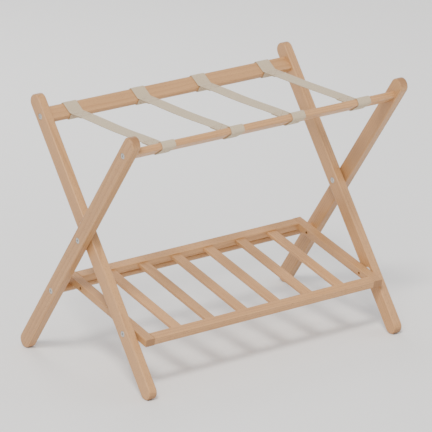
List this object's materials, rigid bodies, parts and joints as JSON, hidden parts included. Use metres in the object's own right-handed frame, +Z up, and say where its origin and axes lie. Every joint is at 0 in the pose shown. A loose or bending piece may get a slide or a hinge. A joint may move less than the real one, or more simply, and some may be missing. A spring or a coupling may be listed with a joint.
{
  "type": "folding luggage rack",
  "caption": "Wooden folding luggage rack: crossed legs, webbing straps across the top, and a slatted lower shelf that lifts upright as the legs close.",
  "frame": {"origin": "on the floor, in the middle of the open rack", "axes": "+X along the top rails, the front (where the outer legs have their tops) at -Y, +Z up"},
  "size_m": [0.636, 0.3886, 0.4992],
  "materials": {
    "wood": "satin lacquer over light hardwood",
    "webbing": "woven cotton webbing, undyed, matt",
    "steel": "zinc plated",
    "nylon": "natural moulded nylon"
  },
  "bodies": {
    "outer_frame": {"outer_leg_left": "wood", "outer_leg_right": "wood", "front_rail": "wood", "crossbar": "wood", "strap_1": "webbing", "strap_2": "webbing", "strap_3": "webbing", "strap_4": "webbing", "front_rail_screws": "steel", "crossbar_screws": "steel", "pivot_sleeve_left": "steel", "pivot_sleeve_right": "steel", "pivot_screw_left": "steel", "pivot_screw_right": "steel", "pivot_washer_left": "nylon", "pivot_washer_right": "nylon"},
    "inner_frame": {"inner_leg_left": "wood", "inner_leg_right": "wood", "back_rail": "wood", "back_rail_screws": "steel"},
    "shelf": {"shelf_front_rail": "wood", "shelf_back_rail": "wood", "shelf_end_rail_left": "wood", "shelf_end_rail_right": "wood", "shelf_slat_1": "wood", "shelf_slat_2": "wood", "shelf_slat_3": "wood", "shelf_slat_4": "wood", "shelf_slat_5": "wood", "shelf_slat_6": "wood", "shelf_corner_pins": "wood", "shelf_screws": "steel", "shelf_washers": "nylon"}
  },
  "joints": [
    {"name": "fold", "type": "hinge", "parent": "outer_frame", "child": "inner_frame", "pos_m": [0, 0, 0.26175], "axis": [1, 0, 0], "range_deg": [0, 62], "deforming": ["strap_1", "strap_2", "strap_3", "strap_4"]},
    {"name": "shelf_tilt", "type": "hinge", "parent": "inner_frame", "child": "shelf", "pos_m": [0, -0.11168, 0.10804], "axis": [1, 0, 0], "range_deg": [0, 28.6]}
  ],
  "couplings": [
    {"joint": "shelf_tilt", "follows": "fold", "ratio": 0.46}
  ]
}
